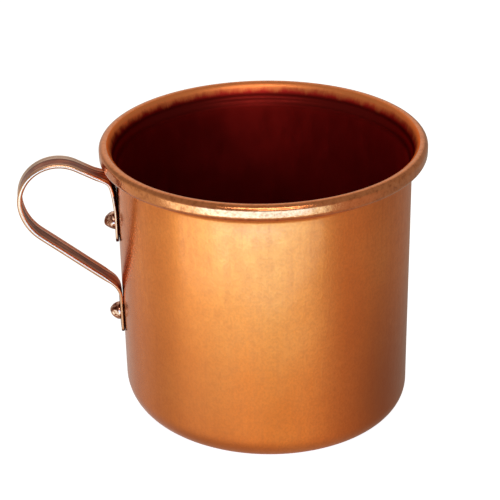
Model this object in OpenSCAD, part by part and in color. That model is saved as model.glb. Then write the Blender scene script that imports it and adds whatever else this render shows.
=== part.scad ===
// Copper mug: a spun one-piece shell with a rolled rim, a strap handle and two rivets.
// Millimetres. Origin on the mug's axis at the underside, +Z up, handle towards -X.

/* [Mug] */
// Height over the rolled rim
mug_h = 84.4; // [80:0.2:100]
// Outer diameter of the straight wall
body_d = 86; // [80:0.5:96]
// Outside radius between the floor and the wall
corner_r = 9; // [6:0.5:14]
// Thickness of the copper sheet
sheet_t = 0.9; // [0.7:0.05:1]

/* [Rim] */
// Width of the rolled bead across its section
roll_w = 3.2; // [3:0.1:4]
// Height of the rolled bead
roll_h = 4.8; // [4.4:0.1:6]
// Step from the outside of the wall out to the bead's inner side
roll_step = 1.2; // [0.9:0.1:1.6]
// Mid-sheet radius of the two bends that carry the wall out to the bead
flare_r = 2.5; // [2:0.1:3]
// How far the sheet curls round under the bead, in degrees
curl_under = 118; // [90:2:122]

/* [Handle] */
// Width of the strap over its rolled edges
strap_w = 7.6; // [6.6:0.2:10]
// Thickness of the strap's web and of its two tabs
strap_t = 0.9; // [0.8:0.05:1.1]
// Diameter of the rolled edges
edge_d = 1.4; // [1.2:0.1:1.6]
// Height of the upper rivet
rivet_hi = 61; // [59:0.5:62]
// Height of the lower rivet
rivet_lo = 31; // [29:0.5:32]
// Length of strap left below each rivet
tab_end = 5.8; // [5:0.1:7]
// Slope of the upper leg, in degrees above level
leg_slope = 29.5; // [27:0.5:32]
// Length of the straight part of the upper leg
leg_len = 9; // [8:0.5:11]
// Radius of the loop over the top
loop_r = 11.3; // [11:0.1:12]
// Turn of the loop over the top, in degrees
loop_turn = 127.5; // [124:0.5:130]
// Radius of the slower curve behind the grip
grip_r = 14.8; // [14:0.2:16]
// Turn of the slower curve, in degrees
grip_turn = 42.3; // [40:0.1:44]

/* [Rivets] */
// Diameter of the shanks
shank_d = 3.2; // [2.6:0.1:3.6]
// Radial clearance in the rivet holes
hole_gap = 0.05; // [0.02:0.01:0.1]
// Diameter of the round outer heads
head_d = 5.5; // [5:0.1:6]
// Height of the straight foot under each round outer head
head_foot = 0.4; // [0.2:0.1:0.8]
// Diameter of the low inner heads
inner_d = 6.2; // [5:0.1:7]
// Height of the low inner heads
inner_h = 1.1; // [0.8:0.1:1.4]

/* [Hidden] */
$fn = 96;
copper = [0.80, 0.46, 0.27];
copper_strap = [0.72, 0.42, 0.28];
copper_rivet = [0.60, 0.34, 0.22];

wall_r = body_d / 2;
roll_r = roll_w / 2;
roll_x = wall_r + roll_step + roll_r;
roll_top = mug_h - roll_r;
roll_low = mug_h - roll_h + roll_r;
flare_off = roll_step + sheet_t;
flare_a = acos(1 - flare_off / (2 * flare_r));
flare_z = roll_low - 2 * flare_r * sin(flare_a);

// The strap's centre line lies in one plane: x is the distance from the mug's axis, y is the height.
// A stage is [point, heading]. It starts at the upper tab's free end and goes up, round and down.
tab_x = wall_r + strap_t / 2;
tab_above = 1.9;
lift_r = 40;
lift_turn = 14.2;
knee_r = 3;
knee_turn = 90 - lift_turn - leg_slope;
heel_r = 7;
heel_turn = loop_turn + grip_turn - leg_slope - 90;
function dir(h) = [cos(h), sin(h)];
function right(h) = [sin(h), -cos(h)];
function ahead(s, l) = [s[0] + l * dir(s[1]), s[1]];
function turned(s, r, a) = [s[0] + r * right(s[1]) - r * right(s[1] - a), s[1] - a];
// A run of the path is [start stage, length, bend radius, steps]; radius 0 is straight, below 0 bends left.
function arc_len(r, a) = abs(r) * a * PI / 180;
function along(run, l) =
    run[2] == 0 ? ahead(run[0], l) : turned(run[0], run[2], l / run[2] * 180 / PI);
tab_hi = [[tab_x, rivet_hi - tab_end], 90];
lift = ahead(tab_hi, tab_end + tab_above);
knee = turned(lift, lift_r, lift_turn);
leg_hi = turned(knee, knee_r, knee_turn);
loop = ahead(leg_hi, leg_len);
grip = turned(loop, loop_r, loop_turn);
leg_lo = turned(grip, grip_r, grip_turn);
heel_x = tab_x + heel_r * (1 - cos(heel_turn));
leg_lo_len = (heel_x - leg_lo[0][0]) / cos(leg_lo[1]);
heel = ahead(leg_lo, leg_lo_len);
tab_lo = turned(heel, -heel_r, -heel_turn);
RUNS = [
    [tab_hi, tab_end + tab_above, 0, 1],
    [lift, arc_len(lift_r, lift_turn), lift_r, 5],
    [knee, arc_len(knee_r, knee_turn), knee_r, 9],
    [leg_hi, leg_len, 0, 6],
    [loop, arc_len(loop_r, loop_turn), loop_r, 32],
    [grip, arc_len(grip_r, grip_turn), grip_r, 10],
    [leg_lo, leg_lo_len, 0, 16],
    [heel, arc_len(heel_r, heel_turn), -heel_r, 12],
    [tab_lo, tab_lo[0][1] - rivet_lo + tab_end, 0, 1]
];
function sum_to(n) = n <= 0 ? 0 : RUNS[n - 1][1] + sum_to(n - 1);
path_len = sum_to(len(RUNS));
rolled_from = sum_to(3);
rolled_to = sum_to(7);
fade_len = 3;
// Free ends with rounded corners take closer steps.
tip_r = 1.5;
tip_steps = [0, 0.08, 0.3, 0.65, 1.05];
function steps(n) = let (run = RUNS[n]) concat(
    n == 0 ? tip_steps : [],
    [for (i = [0 : run[3] - 1]) n == 0 && i == 0 ? tip_r : run[1] * i / run[3]],
    n == len(RUNS) - 1
        ? concat([run[1] - tip_r], [for (i = [len(tip_steps) - 1 : -1 : 0]) run[1] - tip_steps[i]])
        : []);

// Part of a flat ring between two angles, at most 180 degrees apart.
module ring_part(r_in, r_out, a0, a1) {
    far = 2 * r_out;
    mid = (a0 + a1) / 2;
    intersection() {
        difference() {
            circle(r = r_out);
            circle(r = r_in);
        }
        polygon([[0, 0], far * dir(a0), far * dir((a0 + mid) / 2), far * dir(mid),
                 far * dir((a1 + mid) / 2), far * dir(a1)]);
    }
}

// One face of the flare, offset from the middle of the sheet, from the wall up to the bead.
function flare_face(off) = concat(
    [[wall_r - sheet_t / 2 + off, flare_z - 1]],
    [for (a = [0 : flare_a / 10 : flare_a])
        [wall_r - sheet_t / 2 + flare_r - (flare_r - off) * cos(a), flare_z + (flare_r - off) * sin(a)]],
    [for (a = [flare_a * 0.9 : -flare_a / 10 : 0.01])
        [roll_x - roll_r + sheet_t / 2 - flare_r + (flare_r + off) * cos(a), roll_low - (flare_r + off) * sin(a)]],
    [[roll_x - roll_r + sheet_t / 2 + off, roll_low]]);
function reversed(v) = [for (i = [len(v) - 1 : -1 : 0]) v[i]];

// Half section of the spun shell, from the centre of the floor to the curled edge.
module shell_section() {
    square([wall_r - corner_r, sheet_t]);
    translate([wall_r - corner_r, corner_r])
        ring_part(corner_r - sheet_t, corner_r, -90, 0);
    translate([wall_r - sheet_t, corner_r])
        square([sheet_t, flare_z - corner_r]);
    polygon(concat(flare_face(sheet_t / 2), reversed(flare_face(-sheet_t / 2))));
    translate([roll_x - roll_r, roll_low])
        square([sheet_t, roll_top - roll_low]);
    translate([roll_x, roll_top])
        ring_part(roll_r - sheet_t, roll_r, 0, 180);
    translate([roll_x + roll_r - sheet_t, roll_low])
        square([sheet_t, roll_top - roll_low]);
    translate([roll_x, roll_low])
        ring_part(roll_r - sheet_t, roll_r, -curl_under, 0);
}

module rivet_hole(z) {
    translate([-wall_r - 3, 0, z])
        rotate([0, 90, 0])
            cylinder(d = shank_d + 2 * hole_gap, h = 6);
}

module mug_body() {
    color(copper)
        difference() {
            rotate_extrude() shell_section();
            rivet_hole(rivet_hi);
            rivet_hole(rivet_lo);
        }
}

function ease(f) = let (c = max(0, min(1, f))) c * c * (3 - 2 * c);
function edge_at(l) = strap_t + (edge_d - strap_t) * ease((l - rolled_from) / fade_len) * ease((rolled_to - l) / fade_len);
function tip_cut(l) = l >= tip_r ? 0 : tip_r - sqrt(tip_r * tip_r - pow(tip_r - l, 2));
function width_at(l) = strap_w - 2 * tip_cut(min(l, path_len - l));

// Outline of the strap's section: [across its thickness, across its width], with a round roll at each edge.
edge_pts = 9;
function roll_outline(d, w) =
    let (hb = (w - d) / 2, half = 180 - asin(min(1, strap_t / d)))
    [for (i = [0 : edge_pts - 1]) let (a = half * (1 - 2 * i / (edge_pts - 1))) [d / 2 * sin(a), hb + d / 2 * cos(a)]];
function section_at(l) =
    let (half = roll_outline(edge_at(l), width_at(l)))
    concat(half, [for (p = half) [-p[0], -p[1]]]);

// The section set square across the path at each station.
function placed(stage, pts) = [for (p = pts)
    let (q = stage[0] + p[0] * right(stage[1])) [q[0], q[1], p[1]]];

module strap() {
    rings = [for (n = [0 : len(RUNS) - 1]) for (l = steps(n)) placed(along(RUNS[n], l), section_at(sum_to(n) + l))];
    m = 2 * edge_pts;
    last = len(rings) - 1;
    polyhedron(
        points = [for (r = rings) for (p = r) p],
        faces = concat(
            [[for (j = [0 : m - 1]) j]],
            [for (i = [0 : last - 1]) for (j = [0 : m - 1])
                [i * m + j, (i + 1) * m + j, (i + 1) * m + (j + 1) % m, i * m + (j + 1) % m]],
            [[for (j = [m - 1 : -1 : 0]) last * m + j]]),
        convexity = 6);
}

module handle_strap() {
    color(copper_strap)
        difference() {
            rotate([90, 0, 180]) strap();
            rivet_hole(rivet_hi);
            rivet_hole(rivet_lo);
        }
}

// Rivet along -X: low head inside the wall, shank through wall and tab, round head outside.
module rivet(z) {
    seat = wall_r - sheet_t - 0.12;
    face = wall_r + strap_t;
    dome_r = (pow(inner_d / 2, 2) + pow(inner_h, 2)) / (2 * inner_h);
    translate([0, 0, z])
        rotate([0, -90, 0]) {
            intersection() {
                translate([0, 0, seat - inner_h + dome_r]) sphere(r = dome_r);
                translate([0, 0, seat - inner_h]) cylinder(d = inner_d + 2, h = inner_h);
            }
            translate([0, 0, seat - 0.2]) cylinder(d = shank_d, h = face - seat + 0.4);
            translate([0, 0, face]) cylinder(d = head_d, h = head_foot);
            intersection() {
                translate([0, 0, face + head_foot]) sphere(d = head_d);
                translate([0, 0, face]) cylinder(d = head_d, h = head_d);
            }
        }
}

module upper_rivet() {
    color(copper_rivet) rivet(rivet_hi);
}

module lower_rivet() {
    color(copper_rivet) rivet(rivet_lo);
}

mug_body();
handle_strap();
upper_rivet();
lower_rivet();
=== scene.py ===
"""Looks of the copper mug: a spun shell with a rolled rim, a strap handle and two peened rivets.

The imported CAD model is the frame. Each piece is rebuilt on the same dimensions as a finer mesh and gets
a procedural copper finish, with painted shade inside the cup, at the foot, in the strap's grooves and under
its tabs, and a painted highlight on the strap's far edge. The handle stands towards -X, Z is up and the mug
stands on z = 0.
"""

import math

import bmesh
import bpy
from mathutils import Matrix, Vector, noise


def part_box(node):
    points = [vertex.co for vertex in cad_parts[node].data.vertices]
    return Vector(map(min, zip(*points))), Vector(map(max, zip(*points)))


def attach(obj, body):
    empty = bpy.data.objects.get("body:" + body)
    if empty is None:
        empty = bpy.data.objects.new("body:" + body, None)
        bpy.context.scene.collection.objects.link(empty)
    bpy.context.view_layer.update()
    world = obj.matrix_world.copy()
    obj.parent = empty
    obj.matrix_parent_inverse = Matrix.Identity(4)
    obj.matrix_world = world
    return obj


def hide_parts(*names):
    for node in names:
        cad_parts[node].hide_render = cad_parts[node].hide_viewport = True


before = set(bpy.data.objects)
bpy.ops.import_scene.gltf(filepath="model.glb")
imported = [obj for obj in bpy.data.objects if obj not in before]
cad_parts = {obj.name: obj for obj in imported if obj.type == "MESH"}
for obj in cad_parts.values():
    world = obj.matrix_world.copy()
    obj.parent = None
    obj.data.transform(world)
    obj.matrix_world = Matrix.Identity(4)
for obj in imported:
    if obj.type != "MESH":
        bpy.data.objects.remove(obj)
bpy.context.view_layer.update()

MM = 0.001


# ---------------------------------------------------------------- dimensions

def design_mm(metres):
    """A length in the frame, in mm, rounded to the 0.1 mm that the design works in."""
    return round(metres / MM, 1)


def middle_height(node):
    """Height of the middle of a node, in mm."""
    low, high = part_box(node)
    return design_mm((low[2] + high[2]) / 2)


shell_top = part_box("mug_body")[1]
strap_low, strap_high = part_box("handle_strap")

# Shell, in mm.
MUG_H = design_mm(shell_top[2])
WALL_R = design_mm(-strap_high[0])
SHEET_T = 0.9
ROLL_W = 3.2
ROLL_H = 4.8
ROLL_STEP = round(design_mm(shell_top[0]) - WALL_R - ROLL_W, 1)
FLARE_R = 2.5
CURL_UNDER = 118.0
SEGMENTS = 288

# Bottom corner: widest beside the handle, tightest at this azimuth, in mm and degrees.
CORNER_MAX = 9.75
CORNER_SPREAD = 3.75
CORNER_TIGHT_AT = -12

# Softened hollow under the rim, in mm: its depth, the heights where it fades in and out, its reach.
HOLLOW_FILL = 0.6
HOLLOW_LOW = (77.8, 81.0)
HOLLOW_HIGH = (84.0, 80.8)
HOLLOW_REACH = 0.8

# Where the inside material, with its painted shade, takes over from the outside one, in mm below the crest
# of the rim's sheet.
CREST_DEPTH = 0.2

# Hand-finished unevenness of the wall: depths and reach in mm, and how dense its two patterns are.
WAVE_INSET = 0.06
WAVE_SLOW = 0.05
WAVE_FINE = 0.006
SLOW_ROUND, SLOW_UP = 1.3, 0.022
FINE_ROUND, FINE_UP = 5.0, 0.11
WAVE_AWAY = (2, 20)
WAVE_ABOVE = (0.0, 6.0)

# Handle, in mm and degrees.
STRAP_W = design_mm(strap_high[1] - strap_low[1])
STRAP_T = 0.9
EDGE_D = 1.4
RIVET_HI = middle_height("upper_rivet")
RIVET_LO = middle_height("lower_rivet")
TAB_END = round(RIVET_LO - design_mm(strap_low[2]), 1)
TAB_ABOVE = 1.9
LEG_SLOPE = 29.5
LEG_LEN = 9.0
LOOP_R = 11.3
LOOP_TURN = 127.5
GRIP_R = 14.8
GRIP_TURN = 42.3
LIFT_R = 40.0
LIFT_TURN = 14.2
KNEE_R = 3.0
HEEL_R = 7.0
FADE_LEN = 3.0
TIP_R = 1.5

# Handle surface, in mm: sections close together at the tips, then evenly spaced, and their outline.
TIP_STATIONS = (0, 0.03, 0.12, 0.28, 0.5, 0.78, 1.1)
STATION_STEP = 0.75
ROLL_POINTS = 15
WEB_STEPS = 12
WEB_DISH = 0.16
DISH_SHARE = 0.14
EDGE_WEAR = 0.12
EDGE_WAVE = 0.06
EDGE_WAVE_ALONG = 0.13
HAIR = 1e-4

# How the flat tabs sit on the round wall, in mm, and where along the strap each effect dies out.
NEAR_LIFT = 0.10
FAR_PRESS = 0.15
NEAR_ENDS = (12.0, 16.0)
FAR_ENDS = (15.0, 24.0)
FOOT_ENDS = (8.0, 18.0)

# Painted shade on the strap, in mm: how far the dark colour reaches from each tip on the hidden face and
# then all round, and how far off the middle a face has to be to count as hidden.
DARK_UPPER = 15.0
DARK_LOWER = 10.0
DARK_END = 1.4
DARK_LEAN = 0.12

# Rivets, in mm.
HEAD_D = 5.5
HEAD_H = 3.15
HEAD_SOFTNESS = 18
HEAD_LUMPS = 0.02
LUMPS_DENSITY = 2.2
TIP_RISE = 0.10
SEAT_RISE = 0.14
SEAT_SHARE = 0.6
SEAT_NECK = 0.97
SHANK_R = 1.6
INNER_D = design_mm(2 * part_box("upper_rivet")[1][1])
INNER_H = 1.1
INNER_SEAT = WALL_R - SHEET_T - 0.12
INNER_SHARE = 0.99
HEAD_TURNS = 56
HEAD_ROWS = 22
INNER_ROWS = 10


# ---------------------------------------------------------------- mesh helpers

def make_mesh(name, verts, faces, slots=None):
    """A smooth-shaded object from points in mm, with an optional material slot per face."""
    mesh = bpy.data.meshes.new(name)
    mesh.from_pydata([Vector(v) * MM for v in verts], [], faces)
    mesh.update()
    for i, face in enumerate(mesh.polygons):
        face.use_smooth = True
        face.material_index = slots[i] if slots else 0
    surface = bmesh.new()
    surface.from_mesh(mesh)
    bmesh.ops.recalc_face_normals(surface, faces=surface.faces)
    surface.to_mesh(mesh)
    surface.free()
    obj = bpy.data.objects.new(name, mesh)
    bpy.context.scene.collection.objects.link(obj)
    return obj


def smoothstep(low, high, value):
    f = max(0.0, min(1.0, (value - low) / (high - low)))
    return f * f * (3 - 2 * f)


# ---------------------------------------------------------------- shell

def corner_at(azimuth):
    """Radius of the bottom corner, which was worked tighter on the right than beside the handle."""
    share = (1 + math.cos(azimuth - math.radians(CORNER_TIGHT_AT))) / 2
    return CORNER_MAX - CORNER_SPREAD * share ** 2


def sheet_path(corner):
    """Middle of the sheet from the centre of the floor to the curled edge: (r, z, normal r, normal z).
    The normal points to the drink's side, and over the bead it points outwards."""
    half = SHEET_T / 2
    path = []

    def line(a, b, steps, normal):
        for i in range(steps):
            f = i / steps
            path.append((a[0] + (b[0] - a[0]) * f, a[1] + (b[1] - a[1]) * f, *normal))

    def arc(centre, radius, start, end, steps, side):
        for i in range(steps):
            a = math.radians(start + (end - start) * i / steps)
            c, s = math.cos(a), math.sin(a)
            path.append((centre[0] + radius * c, centre[1] + radius * s, side * c, side * s))

    flare = math.degrees(math.acos(1 - (ROLL_STEP + SHEET_T) / (2 * FLARE_R)))
    roll_r = ROLL_W / 2
    roll_x = WALL_R + ROLL_STEP + roll_r
    roll_top = MUG_H - roll_r
    roll_low = MUG_H - ROLL_H + roll_r
    flare_z = roll_low - 2 * FLARE_R * math.sin(math.radians(flare))
    wall_mid = WALL_R - half
    bead_mid = roll_r - half
    inner_x, outer_x = roll_x - bead_mid, roll_x + bead_mid
    line((0, half), (WALL_R - corner, half), steps=36, normal=(0, 1))
    arc((WALL_R - corner, corner), corner - half, -90, 0, steps=16, side=-1)
    line((wall_mid, corner), (wall_mid, flare_z), steps=40, normal=(-1, 0))
    arc((wall_mid + FLARE_R, flare_z), FLARE_R, 180, 180 - flare, steps=7, side=1)
    arc((inner_x - FLARE_R, roll_low), FLARE_R, -flare, 0, steps=7, side=-1)
    line((inner_x, roll_low), (inner_x, roll_top), steps=3, normal=(-1, 0))
    arc((roll_x, roll_top), bead_mid, 180, 0, steps=22, side=1)
    line((outer_x, roll_top), (outer_x, roll_low), steps=3, normal=(1, 0))
    arc((roll_x, roll_low), bead_mid, 0, -CURL_UNDER, steps=14, side=1)
    end = math.radians(-CURL_UNDER)
    c, s = math.cos(end), math.sin(end)
    path.append((roll_x + bead_mid * c, roll_low + bead_mid * s, c, s))
    return path


def hand_wave(azimuth, z):
    """Slow unevenness of hand-finished copper, in mm, never outwards."""
    x, y = math.cos(azimuth), math.sin(azimuth)
    slow = noise.noise(Vector((x * SLOW_ROUND, y * SLOW_ROUND, z * SLOW_UP)))
    fine = noise.noise(Vector((x * FINE_ROUND, y * FINE_ROUND, z * FINE_UP)) + Vector((7, 3, 1)))
    return -WAVE_INSET + WAVE_SLOW * slow + WAVE_FINE * fine


def hollow_fill(r, z):
    """How far planishing has softened the hollow under the rim, in mm towards the axis."""
    crest = WALL_R + ROLL_STEP + ROLL_W / 2
    height = smoothstep(*HOLLOW_LOW, z) * smoothstep(*HOLLOW_HIGH, z)
    return HOLLOW_FILL * height * smoothstep(crest, crest - HOLLOW_REACH, r)


def shell_outline(path):
    """Closed section of the sheet: its outside from the base to the curl, then the drink's side back."""
    half = SHEET_T / 2
    cup_side = [(r + nr * half, z + nz * half) for r, z, nr, nz in path]
    cup_side = [(r - hollow_fill(r, z), z) for r, z in cup_side]
    out_side = [(r - nr * half, z - nz * half) for r, z, nr, nz in path]
    return out_side[1:] + cup_side[:0:-1]


def build_shell():
    verts, faces, slots = [], [], []
    for i in range(SEGMENTS):
        a = 2 * math.pi * i / SEGMENTS
        path = sheet_path(corner_at(a))
        outline = shell_outline(path)
        for r, z in outline:
            grow = hand_wave(a, z) * smoothstep(*WAVE_AWAY, r) * smoothstep(*WAVE_ABOVE, z)
            verts.append(((r + grow) * math.cos(a), (r + grow) * math.sin(a), z))
    count = len(outline)
    crest = MUG_H - SHEET_T / 2 - CREST_DEPTH
    bead_from = next(i for i, place in enumerate(path) if place[1] > crest)
    # The outline comes back down the drink's side, so places there are counted from its far end.
    cup_from = 2 * len(path) - 3 - bead_from
    under, floor = len(verts), len(verts) + 1
    verts += [(0, 0, 0), (0, 0, SHEET_T)]
    for i in range(SEGMENTS):
        j = (i + 1) % SEGMENTS
        for k in range(count - 1):
            faces.append((i * count + k, j * count + k, j * count + k + 1, i * count + k + 1))
            slots.append(1 if k >= cup_from else 0)
    for i in range(SEGMENTS):
        j = (i + 1) % SEGMENTS
        faces.append((under, j * count, i * count))
        slots.append(0)
        faces.append((floor, i * count + count - 1, j * count + count - 1))
        slots.append(1)
    return make_mesh("copper_shell", verts, faces, slots)


# ---------------------------------------------------------------- strap handle

def strap_runs():
    """The strap's middle line as runs of (start point, heading, length, bend radius), 0 for straight.
    x is the distance from the mug's axis and y is the height; a bend below 0 turns left."""
    def right(h):
        return math.sin(math.radians(h)), -math.cos(math.radians(h))

    def step(stage, length, radius):
        (x, y), h = stage
        if radius == 0:
            return (x + length * math.cos(math.radians(h)), y + length * math.sin(math.radians(h))), h
        turn = math.degrees(length / radius)
        a, b = right(h), right(h - turn)
        return (x + radius * (a[0] - b[0]), y + radius * (a[1] - b[1])), h - turn

    def bend(radius, turn):
        return abs(radius) * math.radians(turn)

    tab_x = WALL_R + STRAP_T / 2
    knee_turn = 90 - LIFT_TURN - LEG_SLOPE
    heel_turn = LOOP_TURN + GRIP_TURN - LEG_SLOPE - 90
    stage = ((tab_x, RIVET_HI - TAB_END), 90.0)
    runs = []
    for length, radius in ((TAB_END + TAB_ABOVE, 0), (bend(LIFT_R, LIFT_TURN), LIFT_R),
                           (bend(KNEE_R, knee_turn), KNEE_R), (LEG_LEN, 0),
                           (bend(LOOP_R, LOOP_TURN), LOOP_R), (bend(GRIP_R, GRIP_TURN), GRIP_R)):
        runs.append((stage, length, radius))
        stage = step(stage, length, radius)
    heel_x = tab_x + HEEL_R * (1 - math.cos(math.radians(heel_turn)))
    leg = (heel_x - stage[0][0]) / math.cos(math.radians(stage[1]))
    runs.append((stage, leg, 0))
    stage = step(stage, leg, 0)
    runs.append((stage, bend(HEEL_R, heel_turn), -HEEL_R))
    stage = step(stage, bend(HEEL_R, heel_turn), -HEEL_R)
    runs.append((stage, stage[0][1] - RIVET_LO + TAB_END, 0))
    return runs, step


def strap_section(roll, width):
    """Outline of the strap's section as (across its thickness, across its width)."""
    half_w = (width - roll) / 2
    span = 180 - math.degrees(math.asin(STRAP_T / roll))
    side = []
    for i in range(ROLL_POINTS):
        a = math.radians(span * (1 - 2 * i / (ROLL_POINTS - 1)))
        side.append((roll / 2 * math.sin(a), half_w + roll / 2 * math.cos(a)))
    joint = side[-1][1]
    dish = WEB_DISH * (roll - STRAP_T) / (EDGE_D - STRAP_T)
    web = []
    for i in range(1, WEB_STEPS):
        f = i / WEB_STEPS
        sink = dish * smoothstep(0, DISH_SHARE, f) * smoothstep(0, DISH_SHARE, 1 - f)
        web.append((-STRAP_T / 2 + sink, joint * (1 - 2 * f)))
    half = side + web
    return half + [(-x, -y) for x, y in half]


def tab_lifts(s, total):
    """How far the near and far edges of the strap stand off square along its thickness, in mm.
    The tabs are flat and the wall is round; the riveting has pressed the far edges down onto it."""
    gap = max(0.0, s - TAB_END - TAB_ABOVE) ** 2 / (2 * LIFT_R)
    upper_near = NEAR_LIFT * (1 - smoothstep(*NEAR_ENDS, s))
    upper_far = -(FAR_PRESS + gap) * (1 - smoothstep(*FAR_ENDS, s))
    lower = 1 - smoothstep(*FOOT_ENDS, total - s)
    return upper_near + NEAR_LIFT / 2 * lower, upper_far - FAR_PRESS * lower


def strap_place(runs, step, s):
    """Point on the middle line at a length along the strap, and the direction out of its top face."""
    for stage, length, radius in runs:
        if s <= length + 1e-9:
            break
        s -= length
    point, heading = step(stage, min(s, length), radius)
    return point, (math.sin(math.radians(heading)), -math.cos(math.radians(heading)))


def strap_stations(total):
    """Lengths along the strap at which it gets a section."""
    count = round((total - 2 * TIP_R) / STATION_STEP)
    even = [TIP_R + (total - 2 * TIP_R) * i / count for i in range(count + 1)]
    return [*TIP_STATIONS, *even, *(total - s for s in reversed(TIP_STATIONS))]


def build_strap():
    runs, step = strap_runs()
    total = sum(run[1] for run in runs)
    rolled_from = sum(run[1] for run in runs[:3])
    rolled_to = sum(run[1] for run in runs[:7])
    stations = strap_stations(total)
    verts, faces, slots = [], [], []
    for s in stations:
        (x, y), out = strap_place(runs, step, s)
        fade = smoothstep(0, FADE_LEN, s - rolled_from) * smoothstep(0, FADE_LEN, rolled_to - s)
        roll = STRAP_T + (EDGE_D - STRAP_T) * fade
        short = max(0.0, TIP_R - min(s, total - s))
        cut = TIP_R - math.sqrt(TIP_R ** 2 - short ** 2)
        wave = EDGE_WAVE * noise.noise(Vector((s * EDGE_WAVE_ALONG, 2.0, 5.0))) * fade
        near_lift, far_lift = tab_lifts(s, total)
        width = STRAP_W - 2 * cut - EDGE_WEAR - 2 * abs(wave)
        for a, b in strap_section(roll + HAIR, width):
            side = b / STRAP_W
            a += near_lift * (0.5 - side) + far_lift * (0.5 + side)
            verts.append((-(x + a * out[0]), b + wave, y + a * out[1]))
    section = strap_section(STRAP_T + HAIR, STRAP_W)
    m = len(section)
    for i in range(len(stations) - 1):
        s = stations[i]
        for j in range(m):
            k = (j + 1) % m
            faces.append((i * m + j, i * m + k, (i + 1) * m + k, (i + 1) * m + j))
            # Slot 1 is the painted shade: faces towards the wall near each tab, and all round near the
            # tips.
            lean = section[j][0] + section[k][0]
            under_top = s < DARK_UPPER and lean < -DARK_LEAN
            under_foot = total - s < DARK_LOWER and lean > DARK_LEAN
            slots.append(1 if under_top or under_foot or min(s, total - s) < DARK_END else 0)
    # The cut ends get the painted shade too.
    faces.append(tuple(range(m)))
    faces.append(tuple((len(stations) - 1) * m + j for j in reversed(range(m))))
    return make_mesh("copper_strap", verts, faces, slots + [1, 1])


# ---------------------------------------------------------------- rivets

def on_sphere(turn, tilt):
    """Unit direction from a turn round the head and a tilt above its seat, in degrees."""
    t, e = math.radians(turn), math.radians(tilt)
    return Vector((math.cos(t) * math.cos(e), math.sin(t) * math.cos(e), math.sin(e)))


def rivet_surface(facets):
    """Radius of a peened head in a direction: a dome cut back by soft-edged hammer facets."""
    def radius(direction):
        up, side = direction[2], math.hypot(direction[0], direction[1])
        dome = 1 / math.sqrt((up / HEAD_H) ** 2 + (side / (HEAD_D / 2)) ** 2)
        total = (1 / dome) ** HEAD_SOFTNESS
        for normal, depth in facets:
            share = direction.dot(normal)
            if share > 0:
                total += (share / depth) ** HEAD_SOFTNESS
        return total ** (-1 / HEAD_SOFTNESS)
    return radius


def ring_at(side, height):
    """A ring of points round the rivet's axis."""
    turns = [2 * math.pi * i / HEAD_TURNS for i in range(HEAD_TURNS)]
    return [Vector((side * math.cos(t), side * math.sin(t), height)) for t in turns]


def outer_rings(radius, seed):
    """Rings of the peened head from its seat towards its tip."""
    rings = []
    for r in range(HEAD_ROWS):
        ring = []
        for i in range(HEAD_TURNS):
            d = on_sphere(360 * i / HEAD_TURNS, 90 * r / HEAD_ROWS)
            lumps = noise.noise(d * LUMPS_DENSITY + Vector((seed, 0, 0)))
            ring.append(d * radius(d) * (1 - HEAD_LUMPS + HEAD_LUMPS * lumps))
        rings.append(ring)
    foot = [Vector((v[0] * SEAT_NECK, v[1] * SEAT_NECK, 0)) for v in rings[0]]
    lift = Vector((0, 0, SEAT_RISE))
    return [foot] + [[v + lift * (1 if r else SEAT_SHARE) for v in ring] for r, ring in enumerate(rings)]


def inner_rings(seat):
    """Rings of the low dome on the drink's side, from its edge towards its middle."""
    dome_r = ((INNER_D / 2) ** 2 + INNER_H ** 2) / (2 * INNER_H)
    rings = []
    for r in range(INNER_ROWS):
        side = INNER_D / 2 * (1 - r / INNER_ROWS)
        rise = math.sqrt(dome_r ** 2 - side ** 2) - (dome_r - INNER_H)
        rings.append(ring_at(side, seat - max(rise, 0.0) * INNER_SHARE))
    return rings


def build_rivet(name, z, cuts, seed):
    """Low inner head, and a peened outer head on the tab; local +Z points out along -X.
    Each hammer cut is (turn round the head, tilt above its seat, distance from the seat's middle)."""
    radius = rivet_surface([(on_sphere(turn + seed, tilt), depth) for turn, tilt, depth in cuts])
    face_x = WALL_R + STRAP_T
    seat = INNER_SEAT - face_x
    verts, faces = [], []

    def add_dome(rings, tip_height):
        start = len(verts)
        tip = start + len(rings) * HEAD_TURNS
        for v in [v for ring in rings for v in ring] + [Vector((0, 0, tip_height))]:
            verts.append((-(face_x + v[2]), v[0], z + v[1]))
        for r in range(len(rings)):
            a, b = start + r * HEAD_TURNS, start + (r + 1) * HEAD_TURNS
            for i in range(HEAD_TURNS):
                k = (i + 1) % HEAD_TURNS
                faces.append((a + i, a + k, tip) if b == tip else (a + i, a + k, b + k, b + i))

    shank = ring_at(SHANK_R, seat)
    top = radius(Vector((0, 0, 1))) * (1 - HEAD_LUMPS) + TIP_RISE
    add_dome([shank, ring_at(SHANK_R, 0)] + outer_rings(radius, seed), top)
    add_dome([shank] + inner_rings(seat), seat - INNER_H * INNER_SHARE)
    return make_mesh(name, verts, faces)


# ---------------------------------------------------------------- materials

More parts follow.
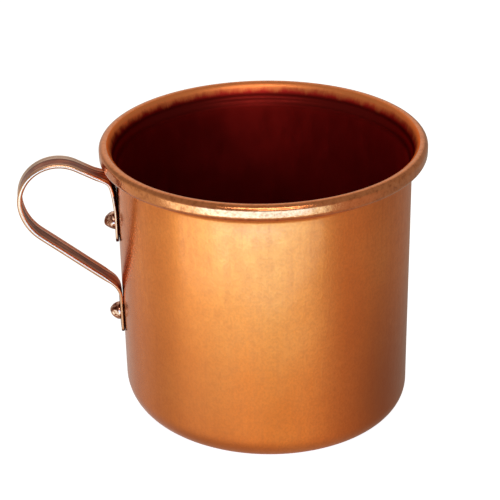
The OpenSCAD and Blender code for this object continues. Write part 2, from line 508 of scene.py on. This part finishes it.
class Nodes:
    """Short forms for building one material's nodes. Places are in metres."""

    def __init__(self, name):
        self.material = bpy.data.materials.new(name)
        self.material.use_nodes = True
        self.tree = self.material.node_tree
        self.shader = self.tree.nodes["Principled BSDF"]
        self.shader.inputs["Metallic"].default_value = 1.0
        self.place = self.add("ShaderNodeTexCoord").outputs["Object"]

    def add(self, kind, **settings):
        node = self.tree.nodes.new(kind)
        for key, value in settings.items():
            setattr(node, key, value)
        return node

    def link(self, source, target):
        self.tree.links.new(source, target)

    def noise(self, per_metre, offset, detail, rough, distortion=0.0):
        """Noise with its own density along x, y and z, and its own place in the pattern."""
        place = self.add("ShaderNodeMapping")
        place.inputs["Scale"].default_value = per_metre
        place.inputs["Location"].default_value = offset
        self.link(self.place, place.inputs["Vector"])
        node = self.add("ShaderNodeTexNoise")
        node.inputs["Scale"].default_value = 1.0
        node.inputs["Detail"].default_value = detail
        node.inputs["Roughness"].default_value = rough
        node.inputs["Distortion"].default_value = distortion
        self.link(place.outputs["Vector"], node.inputs["Vector"])
        return node.outputs["Fac"]

    def ramp(self, value, *stops):
        """Colour from a value by stops of (position, colour)."""
        node = self.add("ShaderNodeValToRGB")
        ramp = node.color_ramp
        ramp.elements[0].position, ramp.elements[0].color = stops[0][0], (*stops[0][1], 1)
        ramp.elements[1].position, ramp.elements[1].color = stops[-1][0], (*stops[-1][1], 1)
        for position, colour in stops[1:-1]:
            ramp.elements.new(position).color = (*colour, 1)
        self.link(value, node.inputs["Fac"])
        return node.outputs["Color"]

    def span(self, value, reach, to, smooth=False):
        """A value over reach (from, to), turned into a number over to (from, to)."""
        node = self.add("ShaderNodeMapRange", interpolation_type="SMOOTHSTEP" if smooth else "LINEAR")
        for key, number in zip(("From Min", "From Max", "To Min", "To Max"), (*reach, *to)):
            node.inputs[key].default_value = number
        self.link(value, node.inputs["Value"])
        return node.outputs["Result"]

    def fill(self, sockets, values):
        """Sets each socket to a number or a colour, or links it to an output."""
        for socket, value in zip(sockets, values):
            if isinstance(value, (int, float)):
                socket.default_value = value
            elif isinstance(value, tuple):
                socket.default_value = (*value, 1)
            else:
                self.link(value, socket)

    def mix(self, share, first, second):
        node = self.add("ShaderNodeMix", data_type="RGBA")
        self.fill((node.inputs[0], node.inputs[6], node.inputs[7]), (share, first, second))
        return node.outputs[2]

    def math(self, operation, *values):
        node = self.add("ShaderNodeMath", operation=operation)
        self.fill(node.inputs, values)
        return node.outputs[0]

    def plus(self, *values):
        total = values[0]
        for value in values[1:]:
            total = self.math("ADD", total, value)
        return total

    def times(self, *values):
        total = values[0]
        for value in values[1:]:
            total = self.math("MULTIPLY", total, value)
        return total

    def axis(self, name):
        node = self.add("ShaderNodeSeparateXYZ")
        self.link(self.place, node.inputs[0])
        return node.outputs[name]

    def finish(self, colour, rough, height, distance, strength):
        """Connects the colour, the roughness and a bump to the shader."""
        self.link(colour, self.shader.inputs["Base Color"])
        self.link(rough, self.shader.inputs["Roughness"])
        bump = self.add("ShaderNodeBump")
        bump.inputs["Distance"].default_value = distance
        bump.inputs["Strength"].default_value = strength
        self.link(height, bump.inputs["Height"])
        self.link(bump.outputs["Normal"], self.shader.inputs["Normal"])
        return self.material


# Ways for a share to run, the usual reach of a noise, and the depth of the finest grain in metres.
UP, DOWN = (0.0, 1.0), (1.0, 0.0)
MIDDLE = (0.3, 0.7)
GRAIN = 0.00003

# Places on the shell where its finish or its painted shade changes, in metres.
BEAD_FROM = (0.0792, 0.0800)
# Painted shade at the foot: where it darkens with height, and on the right and the handle side.
FOOT_SHADE_FROM = (0.066, 0.012)
FOOT_SHADE_RIGHT = (0.006, 0.034)
FOOT_SHADE_LEFT = (-0.006, -0.034)
HANDLE_SIDE = (-0.042, -0.032)
# The inside's painted shade: darker lower down and towards the handle, and a darker band under the rim.
INSIDE_SHADE_FROM = (0.086, 0.052)
SHADE_BAND_FROM = (0.0766, 0.0784)
SHADE_BAND_TO = (0.0804, 0.0818)
RIM_FROM = (0.0812, 0.0836)

# Places across the strap where its finish changes, in metres from its middle: the far side with its painted
# highlight, how much wider that band is, the painted shade of the grooves, and the rolled edges.
FAR_SIDE = (0.0, 0.001)
FAR_WIDER = 0.0006
GROOVE_SHADE_FROM = (0.0017, 0.0020)
ROLL_FROM = (0.0023, 0.0025)


def shell_material():
    """Satin lacquered copper: warm mottling, faint upright streaks, fine pits, a browner worn bead, and
    painted shade that darkens the wall towards the bottom, most on the right and half as much on the handle
    side.
    """
    n = Nodes("satin_copper")
    broad = n.noise((38, 38, 38), (0, 0, 0), detail=3.0, rough=0.5)
    mottle = n.noise((420, 420, 300), (3, 1, 2), detail=4.0, rough=0.6)
    streak = n.noise((900, 900, 26), (1, 5, 2), detail=3.0, rough=0.6)
    pits = n.noise((1500, 1500, 1200), (9, 2, 4), detail=2.0, rough=0.55)
    wear = n.noise((700, 700, 700), (2, 6, 5), detail=5.0, rough=0.68)
    wall = n.ramp(broad, (0.3, (0.89, 0.232, 0.043)), (0.5, (0.95, 0.265, 0.053)),
                  (0.7, (0.98, 0.30, 0.067)))
    wall = n.mix(n.span(mottle, (0.40, 0.70), (0.0, 0.26)), wall, (0.66, 0.15, 0.030))
    wall = n.mix(n.span(streak, (0.45, 0.72), (0.0, 0.20)), wall, (0.70, 0.16, 0.034))
    wall = n.mix(n.span(pits, (0.42, 0.62), (0.0, 0.24)), wall, (0.60, 0.13, 0.028))
    # Painted shade: the wall darkens towards the bottom at both sides of the front, most on the right.
    sides = n.plus(n.span(n.axis("X"), FOOT_SHADE_RIGHT, UP, smooth=True),
                   n.span(n.axis("X"), FOOT_SHADE_LEFT, (0.0, 0.5), smooth=True))
    foot = n.times(n.span(n.axis("Z"), FOOT_SHADE_FROM, (0.0, 0.90), smooth=True), sides)
    wall = n.mix(foot, wall, (0.46, 0.088, 0.012))
    bead = n.span(n.axis("Z"), BEAD_FROM, UP, smooth=True)
    rubbed = n.ramp(wear, (0.34, (0.52, 0.145, 0.046)), (0.46, (0.72, 0.225, 0.076)),
                    (0.64, (0.81, 0.275, 0.105)))
    rough = n.plus(n.span(mottle, MIDDLE, (0.32, 0.40)), n.span(streak, MIDDLE, (-0.02, 0.03)),
                   n.span(n.axis("X"), HANDLE_SIDE, (-0.12, 0.0), smooth=True),
                   n.times(bead, n.span(wear, MIDDLE, (-0.12, -0.22))))
    height = n.plus(n.span(pits, (0.25, 0.6), UP), n.times(mottle, 0.5), n.times(wear, bead, 3.0))
    n.shader.inputs["Specular Tint"].default_value = (1.0, 0.88, 0.80, 1)
    n.shader.inputs["Coat Weight"].default_value = 0.4
    n.shader.inputs["Coat Roughness"].default_value = 0.14
    return n.finish(n.mix(bead, wall, rubbed), rough, height, GRAIN, strength=0.48)


def inside_material():
    """Painted shade: the inside is coloured a deep maroon for the dark inside the cup, darker lower down,
    towards the handle and in a band under the rim, brightening to the copper's own colour where the sheet
    turns out into the rim.
    """
    n = Nodes("inside_copper")
    broad = n.noise((30, 30, 30), (4, 4, 1), detail=3.0, rough=0.5)
    fine = n.noise((300, 300, 120), (2, 8, 3), detail=4.0, rough=0.6)
    # Painted shade: the deep maroon stands in for the dark inside the cup.
    deep = n.ramp(broad, (0.3, (0.60, 0.028, 0.026)), (0.7, (0.69, 0.038, 0.034)))
    deep = n.mix(n.span(fine, (0.35, 0.7), (0.0, 0.25)), deep, (0.44, 0.016, 0.015))
    # Painted shade: darker lower down and towards the handle side.
    shade = n.span(n.plus(n.axis("Z"), n.axis("X")), INSIDE_SHADE_FROM, (0.0, 0.72), smooth=True)
    deep = n.mix(shade, deep, (0.22, 0.010, 0.010))
    # Painted shade: a darker band under the rim, where the flare would catch the light.
    hollow = n.times(n.span(n.axis("Z"), SHADE_BAND_FROM, (0.0, 0.86), smooth=True),
                     n.span(n.axis("Z"), SHADE_BAND_TO, DOWN, smooth=True))
    deep = n.mix(hollow, deep, (0.07, 0.005, 0.004))
    edge = n.plus(n.axis("Z"), n.span(fine, MIDDLE, (-0.0008, 0.0008)))
    rim = n.span(edge, RIM_FROM, UP, smooth=True)
    # Painted shade as well: a dark red specular tint dims the inside's reflections.
    n.shader.inputs["Specular Tint"].default_value = (0.75, 0.20, 0.16, 1)
    return n.finish(n.mix(rim, deep, (0.97, 0.30, 0.10)), n.span(fine, MIDDLE, (0.40, 0.50)),
                    fine, GRAIN, strength=0.5)


def strap_material():
    """Browner copper drawn lengthwise, with rolled edges paler where polished, the far edge paler still as
    a painted highlight, and painted shade darkening the grooves beside them.
    """
    n = Nodes("strap_copper")
    broad = n.noise((160, 160, 160), (5, 2, 7), detail=4.0, rough=0.6)
    drawn = n.noise((70, 2400, 70), (2, 2, 2), detail=3.0, rough=0.6)
    tone = n.plus(n.times(broad, 0.45), n.times(drawn, 0.55))
    web = n.ramp(tone, (0.36, (0.12, 0.016, 0.006)), (0.5, (0.29, 0.062, 0.022)),
                 (0.62, (0.60, 0.21, 0.10)))
    # The far side's rolled edge gets a painted highlight: a paler colour over a wider band.
    far = n.span(n.axis("Y"), FAR_SIDE, UP)
    side = n.plus(n.math("ABSOLUTE", n.axis("Y")), n.times(far, FAR_WIDER))
    # Painted shade in the grooves beside the rolled edges.
    groove = n.times(n.span(side, GROOVE_SHADE_FROM, UP, smooth=True), n.span(side, ROLL_FROM, DOWN, smooth=True))
    web = n.mix(n.times(groove, 0.85), web, (0.06, 0.010, 0.006))
    roll = n.span(side, ROLL_FROM, UP, smooth=True)
    # Rolled edges paler where polished; the far one paler still as a painted highlight.
    pale = n.mix(far, (0.80, 0.42, 0.27), (0.90, 0.64, 0.53))
    rough = n.plus(n.span(drawn, MIDDLE, (0.20, 0.34)), n.times(far, roll, 0.2))
    return n.finish(n.mix(roll, web, pale), rough, drawn, GRAIN, strength=0.6)


def tab_material():
    """Painted shade: the cut ends and the undersides of the tabs against the wall, coloured dark for the
    shadow there.
    """
    n = Nodes("painted_shade_copper")
    patch = n.noise((700, 700, 700), (3, 3, 8), detail=4.0, rough=0.6)
    colour = n.ramp(patch, (0.35, (0.045, 0.006, 0.004)), (0.65, (0.13, 0.024, 0.014)))
    return n.finish(colour, n.span(patch, MIDDLE, (0.40, 0.55)), patch, GRAIN, strength=0.5)


def rivet_material():
    """Peened copper gone brown, with bright spots where the hammer has rubbed it."""
    n = Nodes("peened_copper")
    patch = n.noise((760, 760, 760), (1, 2, 3), detail=3.0, rough=0.6, distortion=0.8)
    fine = n.noise((3000, 3000, 3000), (6, 2, 1), detail=2.0, rough=0.5)
    colour = n.ramp(patch, (0.38, (0.10, 0.020, 0.011)), (0.48, (0.44, 0.14, 0.08)),
                    (0.60, (0.95, 0.60, 0.46)))
    height = n.plus(fine, n.times(patch, 3.0))
    return n.finish(colour, n.span(fine, MIDDLE, (0.16, 0.32)), height, 2 * GRAIN, strength=0.5)


def floor_material():
    """A plain pale sweep with the faintest unevenness."""
    n = Nodes("pale_floor")
    soft = n.noise((6, 6, 6), (0, 0, 0), detail=2.0, rough=0.5)
    colour = n.ramp(soft, (0.3, (0.60, 0.60, 0.62)), (0.7, (0.64, 0.64, 0.66)))
    n.link(colour, n.shader.inputs["Base Color"])
    n.shader.inputs["Metallic"].default_value = 0.0
    n.shader.inputs["Roughness"].default_value = 0.9
    n.shader.inputs["Emission Color"].default_value = (1, 1, 1, 1)
    n.shader.inputs["Emission Strength"].default_value = FLOOR_GLOW
    return n.material


# ---------------------------------------------------------------- studio

# Camera: target, distance, lens and sensor in mm, turns in degrees, and the reach it sees in metres.
CAMERA_TARGET = (-4.356, 0.458, 48.03)
CAMERA_DISTANCE = 461.95
CAMERA_TURN = -6.0
CAMERA_RISE = 26.76
CAMERA_ROLL = -1.123
CAMERA_LENS = 111.46
SENSOR_WIDTH = 36
CAMERA_REACH = (0.01, 20)

# Floor: half its width in mm, its squares along a side, and its own brightness.
FLOOR_HALF = 4000.0
FLOOR_SQUARES = 24
FLOOR_GLOW = 0.85

# Surround: the backdrop that shows, an even tone, and broad soft glows.
# Each glow is (azimuth, rise, angle where it is full, angle where it ends, colour).
BACKDROP = (0.86, 0.86, 0.86, 1)
SURROUND = (0.33, 0.315, 0.27)
GLOWS = [
    (0, -27, 8, 42, (0.305, 0.234, 0.05)),
    (-45, -27, 8, 42, (0.351, 0.370, 0.330)),
    (45, -27, 8, 42, (0.160, 0.070, 0.03)),
    (-90, -20, 10, 45, (0.288, 0.316, 0.232)),
    (-150, -24, 10, 45, (0.230, 0.225, 0.235)),
    (0, -90, 10, 55, (0.093, 0.050, 0.020)),
    (180, 34, 8, 40, (0.42, 0.40, 0.37)),
]

# Soft lights: (name, azimuth, rise, distance, size, height of the spot aimed at, colour in watts),
# in degrees and metres.
CARDS = [
    ("card_front", -4, -14, 0.20, (0.30, 0.08), 0.060, (0.044, 0.118, 0.150)),
    ("card_high", -12, -9, 0.143, (0.18, 0.04), 0.068, (0.008, 0.042, 0.120)),
    ("card_left", -50, -14, 0.22, (0.14, 0.08), 0.060, (0.030, 0.055, 0.062)),
    ("key", -5, 47, 0.60, (0.42, 0.12), 0.045, (0.80, 0.74, 0.64)),
    ("key_low", 3, 22, 0.60, (0.26, 0.08), 0.045, (0.42, 0.38, 0.32)),
]


def direction(azimuth, rise):
    """Unit direction from the mug. Azimuth 0 is in front (-Y) and grows towards +X."""
    a, e = math.radians(azimuth), math.radians(rise)
    return Vector((math.sin(a) * math.cos(e), -math.cos(a) * math.cos(e), math.sin(e)))


def add_camera():
    back = direction(CAMERA_TURN, CAMERA_RISE)
    turn, roll = math.radians(CAMERA_TURN), math.radians(CAMERA_ROLL)
    right = Vector((math.cos(turn), math.sin(turn), 0))
    up = back.cross(right)
    side = right * math.cos(roll) + up * math.sin(roll)
    top = up * math.cos(roll) - right * math.sin(roll)
    data = bpy.data.cameras.new("camera")
    data.lens = CAMERA_LENS
    data.sensor_width = SENSOR_WIDTH
    data.clip_start, data.clip_end = CAMERA_REACH
    obj = bpy.data.objects.new("camera", data)
    bpy.context.scene.collection.objects.link(obj)
    turned = Matrix((side, top, back)).transposed().to_4x4()
    where = (Vector(CAMERA_TARGET) + back * CAMERA_DISTANCE) * MM
    obj.matrix_world = Matrix.Translation(where) @ turned
    bpy.context.scene.camera = obj


def add_card(name, azimuth, rise, distance, size, aim, colour):
    """A rectangular soft light that faces a spot on the mug's axis."""
    back = direction(azimuth, rise)
    watts = max(colour)
    data = bpy.data.lights.new(name, "AREA")
    data.shape = "RECTANGLE"
    data.size, data.size_y = size
    data.energy = watts
    data.color = [c / watts for c in colour]
    obj = bpy.data.objects.new(name, data)
    bpy.context.scene.collection.objects.link(obj)
    obj.location = Vector((0, 0, aim)) + back * distance
    obj.rotation_mode = "QUATERNION"
    obj.rotation_quaternion = back.to_track_quat("Z", "Y")
    obj.visible_camera = False


def add_floor():
    """A wide pale sheet that the mug stands on."""
    marks = [-FLOOR_HALF + 2 * FLOOR_HALF * i / FLOOR_SQUARES for i in range(FLOOR_SQUARES + 1)]
    row = len(marks)
    verts = [(x, y, 0.0) for x in marks for y in marks]
    faces = [(i * row + j, (i + 1) * row + j, (i + 1) * row + j + 1, i * row + j + 1)
             for i in range(FLOOR_SQUARES) for j in range(FLOOR_SQUARES)]
    floor = make_mesh("floor", verts, faces)
    floor.data.materials.append(floor_material())
    floor.visible_glossy = False


def set_world():
    """The surround: an even tone plus the glows, behind a plain backdrop that only the camera sees."""
    world = bpy.data.worlds.new("studio")
    world.use_nodes = True
    tree = world.node_tree
    add, link = tree.nodes.new, tree.links.new
    place = add("ShaderNodeTexCoord").outputs["Generated"]
    total = None
    for azimuth, rise, inner, outer, colour in GLOWS:
        facing = add("ShaderNodeVectorMath")
        facing.operation = "DOT_PRODUCT"
        facing.inputs[1].default_value = direction(azimuth, rise)
        link(place, facing.inputs[0])
        share = add("ShaderNodeMapRange")
        share.interpolation_type = "SMOOTHSTEP"
        share.inputs["From Min"].default_value = math.cos(math.radians(outer))
        share.inputs["From Max"].default_value = math.cos(math.radians(inner))
        link(facing.outputs["Value"], share.inputs["Value"])
        glow = add("ShaderNodeVectorMath")
        glow.operation = "MULTIPLY_ADD"
        glow.inputs[0].default_value = colour
        link(share.outputs["Result"], glow.inputs[1])
        if total is None:
            glow.inputs[2].default_value = SURROUND
        else:
            link(total, glow.inputs[2])
        total = glow.outputs["Vector"]
    seen = add("ShaderNodeMix")
    seen.data_type = "RGBA"
    link(add("ShaderNodeLightPath").outputs["Is Camera Ray"], seen.inputs[0])
    link(total, seen.inputs[6])
    seen.inputs[7].default_value = BACKDROP
    link(seen.outputs[2], tree.nodes["Background"].inputs["Color"])
    tree.nodes["Background"].inputs["Strength"].default_value = 1.0
    bpy.context.scene.world = world


def build_studio():
    add_floor()
    set_world()
    for card in CARDS:
        add_card(*card)
    add_camera()
    bpy.context.scene.view_settings.view_transform = "Standard"


# ---------------------------------------------------------------- the mug

# Each rivet: (name, node, height, how far its pattern is turned, hammer cuts).
RIVETS = [
    ("rivet_upper", "upper_rivet", RIVET_HI, 4.0,
     [(80, 38, 2.62), (10, 30, 2.5), (-60, 34, 2.45), (-130, 30, 2.6), (150, 36, 2.5), (45, 70, 2.95)]),
    ("rivet_lower", "lower_rivet", RIVET_LO, 11.0,
     [(90, 30, 2.55), (20, 40, 2.7), (-50, 30, 2.5), (-120, 42, 2.6), (165, 32, 2.5), (200, 78, 2.9)]),
]


def add_piece(piece, node, slot, *materials):
    """Gives a piece its finish and ties it to the frame."""
    for material in materials:
        piece.data.materials.append(material)
    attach(piece, "root")
    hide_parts(node)


def build_mug():
    add_piece(build_shell(), "mug_body", "copper_shell", shell_material(), inside_material())
    add_piece(build_strap(), "handle_strap", "copper_strap", strap_material(), tab_material())
    rivet_finish = rivet_material()
    for name, node, z, seed, cuts in RIVETS:
        add_piece(build_rivet(name, z, cuts, seed), node, "copper_rivet", rivet_finish)


build_mug()
build_studio()
